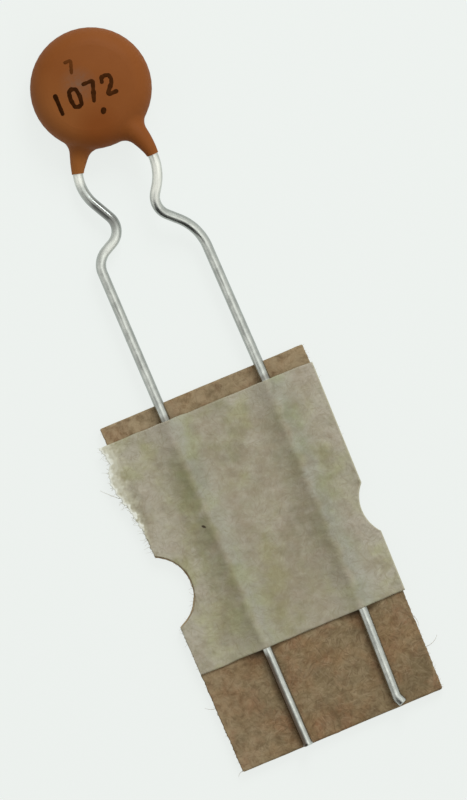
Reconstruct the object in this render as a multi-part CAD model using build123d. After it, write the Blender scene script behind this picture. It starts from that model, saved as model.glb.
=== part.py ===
from build123d import *
import os
from math import asin, cos, hypot, sin

# Ceramic disc capacitor still stuck to a cut piece of its carrier tape, lying on its back.
# Millimetres. X runs along the carrier tape, Y from the feed holes to the disc, Z up.
# The origin is on the underside of the card, halfway between the two feed holes.

# Carrier card: a strip with feed holes, cut with scissors through two holes
feed_hole_pitch = 12.7
feed_hole_diameter = 3.8
card_thickness = 0.5
card_head_reach = 8.53
card_tail_reach = 9.47
left_cut_head_reach = 5.62
left_cut_upper_reach = 5.56
left_cut_lower_reach = 5.78
left_cut_tail_reach = 5.66
right_cut_head_reach = 5.02
right_cut_tail_reach = 4.83

# Hold-down tape: paper, its left edge torn, lifted into a ridge over each lead
tape_thickness = 0.1
tape_head_reach = 7.63
tape_head_slant = 0.08
tape_tail_reach = 4.35
tape_right_overhang = 0.11
tape_tear_overhang = 0.57
tear_foot_height = 2.2
tear_shares = (0.68, 0.5, 0.48, 0.86, 1.0, 0.82, 0.74, 0.52, 0.36, 0.14, 0.08, 0.05, 0.02)
ridge_foot = 0.5
ridge_foot_bend = 0.3

# Tinned copper leads
lead_diameter = 0.5
lead_overrun = 0.6
lead_set_bend = 3.0

# Left lead: reaches from the centre line, drops below the middle of the disc, steps further down
left_shoulder_reach = 2.25
left_shoulder_drop = 4.05
left_shoulder_bend = 2.25
left_kink_reach = 0.78
left_kink_step = 2.84
left_kink_bend = 0.9
left_hip_reach = 2.57
left_hip_step = 0.93
left_hip_bend = 1.05
left_tape_head_reach = 2.52
left_tape_tail_reach = 2.28
left_end_reach = 2.24
left_end_overhang = 0.02

# Right lead, the same way, with a short turned-out tip where it was cropped
right_shoulder_reach = 2.24
right_shoulder_drop = 4.46
right_shoulder_bend = 2.6
right_kink_reach = 0.85
right_kink_step = 2.04
right_kink_bend = 1.0
right_hip_reach = 2.6
right_hip_step = 1.69
right_hip_bend = 2.4
right_tape_head_reach = 2.71
right_tape_tail_reach = 2.75
right_tip_reach = 2.61
right_tip_inset = 0.5
right_tip_bend = 0.4
right_end_reach = 2.8
right_end_inset = 0.12

# Capacitor body: ceramic disc, silver films, solder and dipped coating
disc_offset = 0.38
disc_height = 23.9
ceramic_diameter = 5.0
ceramic_thickness = 0.6
electrode_margin = 0.35
electrode_thickness = 0.04
solder_film = 0.05
solder_length = 2.8
solder_width = 1.3
solder_height = 0.36
solder_slope_share = 0.5
coat_at_rim = 0.45
coat_over_lead = 0.4
coat_dome_rise = 0.19

# Necks of coating that run down the leads
neck_wall = 0.04
neck_root_spread = 0.62
neck_root_rise_share = 0.9
neck_root_inset = 1.75
neck_flare_bend = 0.8
neck_station_shares = (0, 0.4, 0.7, 1)
left_neck_length = 1.25
right_neck_length = 1.45

# Levels and places that follow from the sizes above
lead_radius = lead_diameter / 2
lead_level = card_thickness + lead_radius
film_level = ceramic_thickness / 2 + electrode_thickness
lead_offset = film_level + solder_film + lead_radius
coat_half = lead_offset + lead_radius + coat_over_lead
coat_radius = ceramic_diameter / 2 + coat_at_rim
disc_middle = Vector(disc_offset, disc_height, coat_half)
upward = Vector(0, 0, 1)
front_middle = disc_middle + upward * lead_offset
rear_middle = disc_middle - upward * lead_offset
left_shoulder = Vector(-left_shoulder_reach, disc_height - left_shoulder_drop, rear_middle.Z)
right_shoulder = Vector(right_shoulder_reach, disc_height - right_shoulder_drop, front_middle.Z)


def feed_holes():
    """The two feed holes on the line Y = 0, as one flat sketch."""
    hole = Circle(feed_hole_diameter / 2)
    half = feed_hole_pitch / 2
    return Pos(-half, 0) * hole + Pos(half, 0) * hole


def left_cut(height):
    """Reach of the left cut at a height: two strokes that meet in the feed hole."""
    if height > 0:
        lean = left_cut_head_reach - left_cut_upper_reach
        return left_cut_upper_reach + lean * height / card_head_reach
    lean = left_cut_tail_reach - left_cut_lower_reach
    return left_cut_lower_reach - lean * height / card_tail_reach


def right_cut(height):
    """Reach of the right cut at a height: one straight stroke from head to tail."""
    share = (height + card_tail_reach) / (card_head_reach + card_tail_reach)
    return right_cut_tail_reach + share * (right_cut_head_reach - right_cut_tail_reach)


def carrier_card():
    """Flat card between two slit edges and two cuts, with the feed holes taken out of it."""
    corners = [
        (-left_cut_tail_reach, -card_tail_reach),
        (right_cut_tail_reach, -card_tail_reach),
        (right_cut_head_reach, card_head_reach),
        (-left_cut_head_reach, card_head_reach),
        (-left_cut_upper_reach, 0),
        (-left_cut_lower_reach, 0),
    ]
    outline = make_face(Polyline(*corners, close=True))
    return extrude(outline - feed_holes(), amount=card_thickness)


def tape_outline():
    """Flat outline of the tape: torn on the left above the feed hole, trimmed elsewhere."""
    head_left = tape_head_reach + tape_head_slant / 2
    head_right = tape_head_reach - tape_head_slant / 2
    torn = []
    for step, tear_share in enumerate(tear_shares):
        height = head_left - step * (head_left - tear_foot_height) / (len(tear_shares) - 1)
        torn.append((-left_cut(height) - tear_share * tape_tear_overhang, height))
    trimmed = [
        (-left_cut_upper_reach, 0),
        (-left_cut_lower_reach, 0),
        (-left_cut(-tape_tail_reach), -tape_tail_reach),
        (right_cut(-tape_tail_reach) + tape_right_overhang, -tape_tail_reach),
        (right_cut(head_right) + tape_right_overhang, head_right),
    ]
    return make_face(Polyline(*torn, *trimmed, close=True)) - feed_holes()


def ridge_line(places, reach, lift):
    """Line across the tape at one level, rising round over every lead it crosses."""
    crown = lead_radius + lift
    base = card_thickness + lift
    points = [(-reach, base)]
    bends = []
    for place in places:
        top = lead_level + crown
        foot = lead_radius + ridge_foot
        shoulder = crown * (hypot(crown, foot) - crown) / foot
        points += [
            (place - foot, base),
            (place - shoulder, top),
            (place + shoulder, top),
            (place + foot, base),
        ]
        bends += [ridge_foot_bend, crown, crown, ridge_foot_bend]
    points.append((reach, base))
    return points, bends


def tape_section(height, places, reach):
    """Cut face of the tape across the leads at one height."""
    under, under_bends = ridge_line(places, reach, 0)
    over, over_bends = ridge_line(places, reach, tape_thickness)
    corners = under + over[::-1]
    bends = [0, *under_bends, 0, 0, *over_bends[::-1], 0]
    loop = FilletPolyline(*[(x, height, z) for x, z in corners], radius=bends, close=True)
    return make_face(loop)


def hold_down_tape():
    """Paper sheet lofted over the two leads, then trimmed to the tape's outline."""
    reach = feed_hole_pitch
    head = tape_head_reach + tape_head_slant
    tail = -tape_tail_reach - tape_head_slant
    sections = []
    for height in (tail, head):
        share = (height + tape_tail_reach) / (tape_head_reach + tape_tail_reach)
        left = left_tape_tail_reach + share * (left_tape_head_reach - left_tape_tail_reach)
        right = right_tape_tail_reach + share * (right_tape_head_reach - right_tape_tail_reach)
        sections.append(tape_section(height, (-left, right), reach))
    sheet = loft(sections, ruled=True)
    return sheet & extrude(tape_outline(), amount=lead_level + lead_diameter + tape_thickness)


def wire(path):
    """Round wire along a path."""
    return sweep(Plane(origin=path @ 0, z_dir=path % 0) * Circle(lead_radius), path=path)


def formed_path(middle, shoulder, kink, hip, lower, bends):
    """Middle line of a lead: from past the disc's middle to its shoulder, kink and hip, then down."""
    start = middle - (shoulder - middle).normalized() * lead_overrun
    share = (shoulder.Y - kink[1]) / (shoulder.Y - hip[1])
    kink_level = shoulder.Z + share * (lead_level - shoulder.Z)
    below = [(x, y, lead_level) for x, y in (hip, *lower)]
    return FilletPolyline(start, shoulder, (*kink, kink_level), *below, radius=bends)


def left_path():
    """Path of the lead on the rear face, which ends square at the tail of the card."""
    kink_height = left_shoulder.Y - left_kink_step
    lower = [
        (-left_tape_head_reach, tape_head_reach),
        (-left_tape_tail_reach, -tape_tail_reach),
        (-left_end_reach, -card_tail_reach - left_end_overhang),
    ]
    return formed_path(
        rear_middle,
        left_shoulder,
        (-left_kink_reach, kink_height),
        (-left_hip_reach, kink_height - left_hip_step),
        lower,
        [left_shoulder_bend, left_kink_bend, left_hip_bend, lead_set_bend, lead_set_bend],
    )


def right_path():
    """Path of the lead on the front face, which ends in a tip turned outwards."""
    kink_height = right_shoulder.Y - right_kink_step
    lower = [
        (right_tape_head_reach, tape_head_reach),
        (right_tape_tail_reach, -tape_tail_reach),
        (right_tip_reach, right_tip_inset - card_tail_reach),
        (right_end_reach, right_end_inset - card_tail_reach),
    ]
    bends = [right_shoulder_bend, right_kink_bend, right_hip_bend]
    bends += [lead_set_bend, lead_set_bend, right_tip_bend]
    return formed_path(
        front_middle,
        right_shoulder,
        (right_kink_reach, kink_height),
        (right_hip_reach, kink_height - right_hip_step),
        lower,
        bends,
    )


def level_disc(diameter, under, thickness):
    """Flat round disc, its underside a given height above the disc's middle."""
    place = Pos(*(disc_middle + upward * under))
    return place * extrude(Circle(diameter / 2), amount=thickness)


def solder_mound(middle, shoulder, outward):
    """Long mound with sloping sides on an electrode, its length along the lead."""
    plane = Plane(
        origin=disc_middle + outward * film_level, x_dir=shoulder - middle, z_dir=outward
    )
    inset = solder_height * solder_slope_share
    foot = plane * SlotOverall(solder_length, solder_width)
    crest = SlotOverall(solder_length - inset * 2, solder_width - inset * 2)
    return loft([foot, plane.offset(solder_height) * crest], ruled=True)


def pill(radius, half, rim_bend):
    """Solid of revolution about Z: two shallow domes that run smoothly into a round rim."""
    dome = ((radius - rim_bend) ** 2 + half**2 - rim_bend**2) / (half - rim_bend) / 2
    lean = asin((radius - rim_bend) / (dome - rim_bend))
    edges = []
    for side in (1, -1):
        top = (0, 0, side * half)
        middle = (dome * sin(lean / 2), 0, side * (half - dome + dome * cos(lean / 2)))
        end = (dome * sin(lean), 0, side * (half - dome + dome * cos(lean)))
        edges.append(ThreePointArc(top, middle, end))
    rim = ThreePointArc(edges[0] @ 1, (radius, 0, 0), edges[1] @ 1)
    axis_line = Line(edges[0] @ 0, edges[1] @ 0)
    return revolve(make_face([*edges, rim, axis_line]), Axis.Z)


def neck(path, length):
    """Tapering sleeve of coating on a lead: deep and broad inside the disc, thin at its end."""
    root_reach = coat_radius - neck_root_inset
    sections = []
    for share in neck_station_shares:
        reach = root_reach + share * (coat_radius + length - root_reach)
        along = (lead_overrun + reach) / path.length
        direction = path % along
        across = Vector(direction.Y, -direction.X, 0)
        on_lead = path @ along
        to_middle = upward * (disc_middle.Z - on_lead.Z) * neck_root_rise_share * (1 - share)
        plane = Plane(origin=on_lead + to_middle, x_dir=across, z_dir=direction)
        half_width = lead_radius + neck_root_spread + share * (neck_wall - neck_root_spread)
        half_depth = lead_radius + neck_wall + to_middle.length
        sections.append(plane * Ellipse(half_width, half_depth))
    return loft(sections)


def coat_outside():
    """Outside of the dipped coating: the puffy disc with a flared neck for each lead."""
    body = Pos(*disc_middle) * pill(coat_radius, coat_half, coat_half - coat_dome_rise)
    left = neck(left_path(), left_neck_length)
    right = neck(right_path(), right_neck_length)
    joined = body + left + right
    creases = new_edges(body, left, right, combined=joined)
    return fillet(creases, neck_flare_bend)


electrode_diameter = ceramic_diameter - electrode_margin * 2
inside = {
    "ceramic_disc": level_disc(ceramic_diameter, -ceramic_thickness / 2, ceramic_thickness),
    "front_electrode": level_disc(electrode_diameter, ceramic_thickness / 2, electrode_thickness),
    "rear_electrode": level_disc(electrode_diameter, -film_level, electrode_thickness),
    "left_lead": wire(left_path()),
    "right_lead": wire(right_path()),
}
inside["front_solder"] = solder_mound(front_middle, right_shoulder, upward) - inside["right_lead"]
inside["rear_solder"] = solder_mound(rear_middle, left_shoulder, -upward) - inside["left_lead"]

coating = coat_outside()
for piece in inside.values():
    coating = coating - piece

parts = {
    "coating": coating,
    "carrier_card": carrier_card(),
    "hold_down_tape": hold_down_tape(),
    **inside,
}
os.makedirs("parts", exist_ok=True)
for name, shape in parts.items():
    export_step(shape, f"parts/{name}.step")
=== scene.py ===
"""Finish of a ceramic disc capacitor that is still stuck to a cut piece of its carrier tape.

The file is laid out as an add-on: settings, an operator for each piece or group of like pieces, one
for the stage, and a panel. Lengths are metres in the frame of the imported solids: X runs along the
carrier tape, Y from the feed holes to the disc, and Z up from the floor. Patterns on a surface, in the
materials and in the marks that the materials read, are placed in millimetres of the same frame.
"""

from functools import cached_property

import bpy
import numpy as np
from bpy.props import FloatProperty, FloatVectorProperty, IntProperty, PointerProperty
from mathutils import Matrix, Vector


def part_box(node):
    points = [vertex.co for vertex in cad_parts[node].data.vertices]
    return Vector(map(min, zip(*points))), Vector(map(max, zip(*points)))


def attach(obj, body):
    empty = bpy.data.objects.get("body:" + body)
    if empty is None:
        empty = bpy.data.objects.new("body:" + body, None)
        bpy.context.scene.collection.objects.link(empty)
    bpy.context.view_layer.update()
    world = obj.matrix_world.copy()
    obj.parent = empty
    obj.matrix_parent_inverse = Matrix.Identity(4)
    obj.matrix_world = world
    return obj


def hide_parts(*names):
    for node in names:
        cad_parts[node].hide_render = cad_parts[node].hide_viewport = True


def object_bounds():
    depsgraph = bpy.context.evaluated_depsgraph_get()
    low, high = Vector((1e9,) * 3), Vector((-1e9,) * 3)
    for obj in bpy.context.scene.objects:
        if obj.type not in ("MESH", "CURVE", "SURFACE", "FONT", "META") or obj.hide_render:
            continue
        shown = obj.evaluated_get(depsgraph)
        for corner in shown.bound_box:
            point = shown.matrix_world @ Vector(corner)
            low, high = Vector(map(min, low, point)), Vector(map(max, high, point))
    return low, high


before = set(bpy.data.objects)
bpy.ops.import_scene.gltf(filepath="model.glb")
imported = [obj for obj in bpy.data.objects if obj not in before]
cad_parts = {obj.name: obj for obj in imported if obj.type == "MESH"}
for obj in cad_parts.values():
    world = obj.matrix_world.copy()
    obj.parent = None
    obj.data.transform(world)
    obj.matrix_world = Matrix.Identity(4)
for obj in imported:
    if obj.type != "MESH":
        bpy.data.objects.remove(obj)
cad_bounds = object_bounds()

bl_info = {
    "name": "Ceramic disc capacitor on carrier tape",
    "version": (1, 0, 0),
    "blender": (4, 5, 0),
    "location": "View3D > Sidebar > Capacitor",
    "description": "Builds the finish of a ceramic disc capacitor round its packed solids",
    "category": "Object",
}

mm = 0.001

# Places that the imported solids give
card_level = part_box("carrier_card")[1].z
coat_low, coat_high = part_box("coating")

# Corners of the leads: across, along and up, and the bend radius at each inner corner
left_lead_corners = np.array([
    (0.707, 24.403, 0.65),
    (-2.25, 19.85, 0.65),
    (-0.78, 17.01, 0.725),
    (-2.57, 16.08, 0.75),
    (-2.52, 7.63, 0.75),
    (-2.28, -4.35, 0.75),
    (-2.24, -9.49, 0.75),
]) * mm
left_lead_bends = np.array([2.25, 0.9, 1.05, 3.0, 3.0]) * mm
right_lead_corners = np.array([
    (0.149, 24.454, 1.93),
    (2.24, 19.44, 1.93),
    (0.85, 17.4, 1.285),
    (2.6, 15.71, 0.75),
    (2.71, 7.63, 0.75),
    (2.75, -4.35, 0.75),
    (2.61, -8.97, 0.75),
    (2.8, -9.35, 0.75),
]) * mm
right_lead_bends = np.array([2.6, 1.0, 2.4, 3.0, 3.0, 0.4]) * mm

# How far the torn edge of the tape stands out, in equal steps from its head down to the foot of the tear
tear_shares = (0.72, 0.5, 0.46, 0.86, 1.0, 0.84, 0.74, 0.54, 0.36, 0.14, 0.08, 0.05, 0.02)

# Loose fibres, in millimetres: spread of heading in radians, logarithm of the usual length and its spread.
# Long strays are given by place across and along, heading in degrees and length.
fibre_kinds = {
    "tape_fibres": {
        "heading_spread": 0.75, "log_length": -1.6, "log_spread": 0.45, "longest": 0.42,
        "radius": 0.007, "stray_radius": 0.013, "strays": [(-6.02, 5.05, 141, 1.05)],
    },
    "card_fibres": {
        "heading_spread": 0.7, "log_length": -2.3, "log_spread": 0.5, "longest": 0.3,
        "radius": 0.006, "stray_radius": 0.01,
        "strays": [
            (4.85, -5.65, -54, 0.6), (4.83, -7.28, -13, 0.85),
            (-5.7, -6.11, 179, 0.55), (-5.63, -9.43, 157, 0.4),
        ],
    },
}

# Strokes of plain digits, each a bent line through points given as shares of the digit's width and height
digit_stroke_shares = {
    "0": [
        (0.5, 1), (0.12, 0.92), (0, 0.5), (0.12, 0.08), (0.5, 0),
        (0.88, 0.08), (1, 0.5), (0.88, 0.92), (0.46, 1),
    ],
    "1": [(0.5, 0), (0.5, 1)],
    "2": [(0, 0.74), (0.12, 0.96), (0.5, 1), (0.9, 0.94), (1, 0.72), (0.86, 0.5), (0, 0), (1, 0)],
    "3": [(0, 0.94), (0.6, 1), (0.98, 0.8), (0.5, 0.54), (1, 0.36), (0.9, 0.06), (0.4, 0), (0, 0.1)],
    "4": [(0.7, 0), (0.7, 1), (0, 0.3), (1, 0.3)],
    "5": [(0.94, 1), (0.08, 1), (0.02, 0.56), (0.6, 0.62), (1, 0.34), (0.8, 0.04), (0, 0)],
    "6": [(0.9, 1), (0.2, 0.82), (0, 0.3), (0.3, 0), (0.95, 0.1), (0.95, 0.46), (0.5, 0.58), (0.05, 0.4)],
    "7": [(0, 1), (1, 1), (0.35, 0)],
    "8": [
        (0.5, 0.54), (0, 0.3), (0.2, 0), (0.9, 0.04), (1, 0.34),
        (0.1, 0.7), (0.3, 1), (0.8, 1), (0.9, 0.7), (0.5, 0.54),
    ],
    "9": [(0.95, 0.6), (0.5, 0.42), (0.05, 0.56), (0.05, 0.9), (0.6, 1), (1, 0.8), (0.8, 0.2), (0.1, 0)],
}


# Settings

def length(description, millimetres):
    """A length setting, its default given in millimetres."""
    return FloatProperty(
        description=description, default=millimetres * mm, min=0, precision=6, unit="LENGTH"
    )


def share(description, default):
    """A setting from 0 to 1."""
    return FloatProperty(description=description, default=default, min=0, max=1, subtype="FACTOR")


def colour(description, default):
    """A linear colour setting."""
    return FloatVectorProperty(
        description=description, default=default, min=0, max=1, size=3, subtype="COLOR"
    )


class CoatingSettings(bpy.types.PropertyGroup):
    """Finish of the dipped coating and of what it covers."""

    resin: colour("Main colour of the dipped resin", (0.216, 0.0675, 0.0150))
    dark_resin: colour("Resin where it ran thick", (0.201, 0.0610, 0.0125))
    # Painted light: the left of the coating is made paler against its shading
    pale_resin: colour("Resin rubbed pale on the left", (0.246, 0.0840, 0.0210))
    thin_resin: colour("Resin where it is thin on the leads", (0.310, 0.1100, 0.0260))
    # Darker resin low in the middle, between the necks
    thick_resin: colour("Resin pooled between the leads", (0.196, 0.0540, 0.0095))
    # Greyer patch on the top of the dome
    dust: colour("Grey haze rubbed on the resin", (0.165, 0.090, 0.054))
    roughness: share("Roughness of the resin", 0.55)
    ceramic: colour("Fired disc inside the coating", (0.62, 0.58, 0.50))
    silver: colour("Fired silver film", (0.75, 0.74, 0.72))
    solder: colour("Dull solder", (0.55, 0.55, 0.54))


class MarkSettings(bpy.types.PropertyGroup):
    """Printed digits on the coating."""

    code: IntProperty(description="Plain number printed on the disc", default=1072, min=0)
    side_code: IntProperty(description="Small faint number", default=7, min=0)
    height: length("Height of the digits", 0.92)
    side_share: share("Height of the small number over that of the digits", 0.62)
    width_share: share("Width of a digit over its height", 0.52)
    pitch: length("From one digit to the next", 0.86)
    stroke: length("Width of an inked line", 0.2)
    dot: length("Width of the dot", 0.27)
    thickness: length("Height of the ink over the resin", 0.014)
    ink: colour("Stamping ink", (0.022, 0.0065, 0.0012))
    dome_radius: length("Radius of the coating's upper dome", 10.2)


class LeadSettings(bpy.types.PropertyGroup):
    """Tinned wire of the two leads."""

    diameter: length("Thickness of the wire", 0.5)
    tin: colour("Clean tinned surface", (0.745, 0.790, 0.745))
    dull_tin: colour("Scuffed and oxidised tin", (0.460, 0.490, 0.462))
    # Darker tin of the drawn streaks, also used as painted shade on both flanks of the wire
    side_tin: colour("Tin on the sides, which nothing has rubbed bright", (0.348, 0.365, 0.342))
    frosted_tin: colour("Tin rubbed by the forming tool", (0.940, 0.950, 0.870))
    # Painted shade: darker tin in the kinks, standing in for the dark reflections there
    burnished_tin: colour("Dark tin pressed smooth in the kinks", (0.275, 0.285, 0.270))
    # Painted shade on the left side of the lead ends beside the card, and darker tin just above the tape
    grime: colour("Dark film on the lead ends beside the card", (0.140, 0.112, 0.085))
    roughness: share("Roughness of the clean tin", 0.18)


class CardSettings(bpy.types.PropertyGroup):
    """Kraft card that carries the leads."""

    hole_pitch: length("Between the two feed holes", 12.7)
    hole_diameter: length("Width of a feed hole", 3.8)
    head: length("From the feed holes to the upper edge", 8.53)
    tail: length("From the feed holes to the lower edge", 9.47)
    left_head: length("Reach of the left cut at the head", 5.62)
    left_upper: length("Reach of the upper left cut at the hole", 5.56)
    left_lower: length("Reach of the lower left cut at the hole", 5.78)
    left_tail: length("Reach of the left cut at the tail", 5.66)
    right_head: length("Reach of the right cut at the head", 5.02)
    right_tail: length("Reach of the right cut at the tail", 4.83)
    edge_round: length("Rounding of the cut edges", 0.05)
    corner_round: length("Wear of the four corners", 0.07)
    fray: length("Unevenness of the cut edges", 0.007)
    kraft: colour("Main colour of the card", (0.256, 0.194, 0.106))
    brown_kraft: colour("Darker clouds in the card", (0.204, 0.150, 0.078))
    red_kraft: colour("Reddish clouds in the card", (0.264, 0.157, 0.086))
    pale_fibre: colour("Pale fibres in the card", (0.362, 0.281, 0.174))
    dark_fibre: colour("Dark fibres in the card", (0.125, 0.082, 0.042))
    # Painted shadow: the dark gap under the raised lower edge of the tape, left of each lead
    dirt: colour("Dirt caught under the edge of the tape", (0.040, 0.028, 0.018))
    red_tint: colour("Tint of reddish patches", (1.0, 0.90, 0.83))
    stain_tint: colour("Tint of dull patches", (0.76, 0.76, 0.74))


class TapeSettings(bpy.types.PropertyGroup):
    """Paper tape that holds the leads down."""

    thickness: length("Thickness of the tape", 0.1)
    head: length("From the feed holes to the upper edge", 7.63)
    tail: length("From the feed holes to the lower edge", 4.35)
    slant: length("Fall of the upper edge from left to right", 0.1)
    overhang: length("How far the tape passes the card on the right", 0.11)
    tear_overhang: length("Most that the torn edge passes the card", 0.57)
    tear_foot: length("Height over the feed holes where the tear ends", 2.2)
    left_foot: length("Width of the slope to the left of a lead", 1.3)
    right_foot: length("Width of the slope to the right of a lead", 0.9)
    tail_curl: length("How far the lower edge lifts off the card", 0.02)
    punch_rim: length("Card left bare round the left feed hole", 0.07)
    relief: length("Height of the paper's unevenness", 0.006)
    paper: colour("Tape over the card", (0.350, 0.317, 0.228))
    pale_paper: colour("Paler clouds in the tape", (0.420, 0.394, 0.308))
    brown_paper: colour("Where the card shows through", (0.270, 0.229, 0.151))
    green_paper: colour("Greenish clouds in the tape", (0.295, 0.285, 0.185))
    # Painted shade: the shaded gap beside a lead, seen through the tape
    hollow_paper: colour("Tape over the gap beside a lead", (0.250, 0.238, 0.126))
    # Also painted shade: greenish patches in that shade
    olive_paper: colour("Greenish patches over that gap", (0.212, 0.224, 0.098))
    bare_paper: colour("Tape with no card under it", (0.475, 0.455, 0.340))
    torn_paper: colour("Thin fibres along the torn edge", (0.760, 0.770, 0.690))
    speck: colour("A speck of dirt", (0.060, 0.045, 0.028))
    # Painted light: a cool tint on the lit slope right of each lead
    wire_tint: colour("Tint of the slope right of a lead", (0.80, 0.87, 0.925))
    olive_tint: colour("Tint of yellowish patches", (0.97, 1.0, 0.85))
    mauve_tint: colour("Tint of pinkish patches", (1.0, 0.97, 1.0))
    stain_tint: colour("Tint of dull patches", (0.84, 0.84, 0.82))


class StageSettings(bpy.types.PropertyGroup):
    """Floor, light and camera."""

    floor: colour("Pale floor", (0.850, 0.885, 0.860))
    floor_reach: length("From the middle of the floor to its edge", 3000)
    ambient: share("Light from all round", 0.70)
    key_power: FloatProperty(description="Power of the softbox", default=0.225, min=0, unit="POWER")
    key_distance: length("From the part to the softbox", 200)
    key_size: length("Width of the softbox", 90)
    camera_height: length("Camera above the card", 600)
    view_height: length("What the image spans from top to bottom", 38.727)
    view_turn: FloatProperty(
        description="Turn of the camera", default=np.radians(-22.8), unit="ROTATION"
    )


class CapacitorSettings(bpy.types.PropertyGroup):
    """All settings of the capacitor and its stage."""

    coating: PointerProperty(type=CoatingSettings)
    marks: PointerProperty(type=MarkSettings)
    leads: PointerProperty(type=LeadSettings)
    card: PointerProperty(type=CardSettings)
    tape: PointerProperty(type=TapeSettings)
    stage: PointerProperty(type=StageSettings)


# Shapes and patterns worked out as whole arrays

def wave_noise(wavelength, seed, x, y=0.0):
    """Soft noise of about unit size: a sum of plane waves near one wavelength in seeded directions."""
    waves = 24
    draw = np.random.default_rng(seed)
    angle = draw.uniform(0, 2 * np.pi, waves)
    number = 2 * np.pi / (wavelength * draw.uniform(0.7, 1.4, waves))
    phase = draw.uniform(0, 2 * np.pi, waves)
    along = np.multiply.outer(x, np.cos(angle)) + np.multiply.outer(y, np.sin(angle))
    return np.sin(along * number + phase).sum(-1) / np.sqrt(waves / 2)


def unit(vectors):
    """Vectors scaled to length 1."""
    return vectors / np.linalg.norm(vectors, axis=-1, keepdims=True)


def ramp(values, start, end):
    """0 up to start and 1 from end on: 3t squared less 2t cubed, t the share of the way between them."""
    way = np.clip((values - start) / (end - start), 0, 1)
    return way * way * (3 - 2 * way)


def spot(x, y, radius):
    """1 at the middle, falling as a bell curve that reaches 1/e at the radius."""
    return np.exp(-(x**2 + y**2) / radius**2)


def even_steps(points, spacing):
    """The same line with points at even steps along it, and the length reached at each."""
    reach = np.append(0, np.cumsum(np.linalg.norm(np.diff(points, axis=0), axis=1)))
    steps = np.linspace(0, reach[-1], int(reach[-1] / spacing) + 2)
    return np.stack([np.interp(steps, reach, axis) for axis in points.T], axis=1), steps


def rounded_route(corners, bends, spacing):
    """Line through corners with an arc at each inner one: middle + spoke cos(a) + bend tangent sin(a)."""
    arc_points = 24
    last = unit(corners[:-2] - corners[1:-1])
    after = unit(corners[2:] - corners[1:-1])
    half = np.arccos(np.clip((last * after).sum(1), -1, 1)) / 2
    middle = corners[1:-1] + unit(last + after) * (bends / np.sin(half))[:, None]
    spoke = corners[1:-1] + last * (bends / np.tan(half))[:, None] - middle
    angle = np.linspace(0, 1, arc_points)[None, :, None] * (np.pi - 2 * half)[:, None, None]
    arcs = middle[:, None] + spoke[:, None] * np.cos(angle)
    arcs = arcs - (last * bends[:, None])[:, None] * np.sin(angle)
    points = np.concatenate([corners[:1], arcs.reshape(-1, 3), corners[-1:]])
    return even_steps(points, spacing)


def carried_ellipse(route, side, lift, half_width, half_height, sides):
    """Ellipse carried along a route: route + half_width cos(a) side - half_height sin(a) lift."""
    angle = np.linspace(0, 2 * np.pi, sides, endpoint=False)[None, :, None]
    across = np.cos(angle) * side[:, None] * half_width[:, None, None]
    upward = np.sin(angle) * lift[:, None] * half_height[:, None, None]
    return route[:, None] + across - upward


def wire_skin(route, steps, radius, sides):
    """Round wire: a circle carried along a route, drawn in by a quarter ellipse at both ends."""
    crop_length = radius * 0.18
    crop_share = 0.2
    tangent = unit(np.gradient(route, axis=0))
    side = unit(np.cross(tangent, (0, 0, 1)))
    lift = np.cross(side, tangent)
    ends = np.minimum(steps, steps[-1] - steps)
    half = radius * (1 - crop_share + crop_share * rounding(ends, crop_length))
    return carried_ellipse(route, side, lift, half, half, sides)


def sheet_grid(left, right, tail, head, rows, columns):
    """Grid, closer at the sides: x from left(y) to right(y), y from tail(x) to head(x)."""
    crowding = 0.92
    across = np.linspace(0, 1, columns)
    across = across - crowding * np.sin(2 * np.pi * across) / (2 * np.pi)
    along = np.linspace(0, 1, rows)[:, None]
    lowest, highest = tail(np.zeros(1)), head(np.zeros(1))
    nominal = lowest + (highest - lowest) * along
    x = left(nominal) + (right(nominal) - left(nominal)) * across
    return x, tail(x) + (head(x) - tail(x)) * along


def closed_sheet(x, y, top, bottom, end, edge, least):
    """Closed skin of a sheet: each row runs over the top to the right and back under it to the left.

    The thickness falls as a quarter circle at the edges: to nothing at the sides and, by the distance
    from the head or tail end, to the least share of it, which end faces close.
    """
    side = np.minimum(x - x[:, :1], x[:, -1:] - x)
    thick = rounding(side, edge) * (least + (1 - least) * rounding(end, edge))
    middle = (top + bottom) / 2
    upper = np.stack([x, y, middle + (top - middle) * thick], axis=-1)
    lower = np.stack([x, y, middle + (bottom - middle) * thick], axis=-1)
    return both_sides(upper, lower)


def both_sides(upper, lower=None):
    """Values over a sheet and under it, or the same on both, in the order of its closed skin."""
    lower = upper if lower is None else lower
    return np.concatenate([upper, lower[:, -2:0:-1]], axis=1)


def rounding(distance, radius):
    """Share of the thickness left near an edge: the height of a quarter circle of that radius."""
    return np.sqrt(1 - (1 - np.clip(distance / radius, 0, 1)) ** 2)


def card_left(card, y):
    """Left edge of the card: two straight cuts that meet in the feed hole."""
    upper = card.left_upper + (card.left_head - card.left_upper) * y / card.head
    lower = card.left_lower - (card.left_tail - card.left_lower) * y / card.tail
    cut = -np.where(y > 0, upper, lower)
    return np.maximum(cut, hole_edge(card.hole_pitch, card.hole_diameter / 2, y))


def card_right(card, y):
    """Right edge of the card: one straight cut across the other feed hole."""
    lean = (y + card.tail) / (card.head + card.tail)
    cut = card.right_tail + (card.right_head - card.right_tail) * lean
    return np.minimum(cut, -hole_edge(card.hole_pitch, card.hole_diameter / 2, y))


def hole_edge(pitch, radius, y):
    """Right side of the left feed hole, or far to the left where the hole isn't."""
    inside = np.sqrt(np.clip(radius**2 - y**2, 0, None))
    return np.where(np.abs(y) < radius, inside - pitch / 2, -pitch)


def tear_reach(tape, y):
    """How far the torn edge of the tape passes the card, by straight lines between its shares."""
    heights = np.linspace(tape.head, tape.tear_foot, len(tear_shares))
    return tape.tear_overhang * np.interp(-y, -heights, tear_shares, right=0)


def lead_at(corners, y):
    """How far across a lead is where it runs under the tape."""
    head, tail = corners[4], corners[5]
    return tail[0] + (head[0] - tail[0]) * (y - tail[1]) / (head[1] - tail[1])


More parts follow.
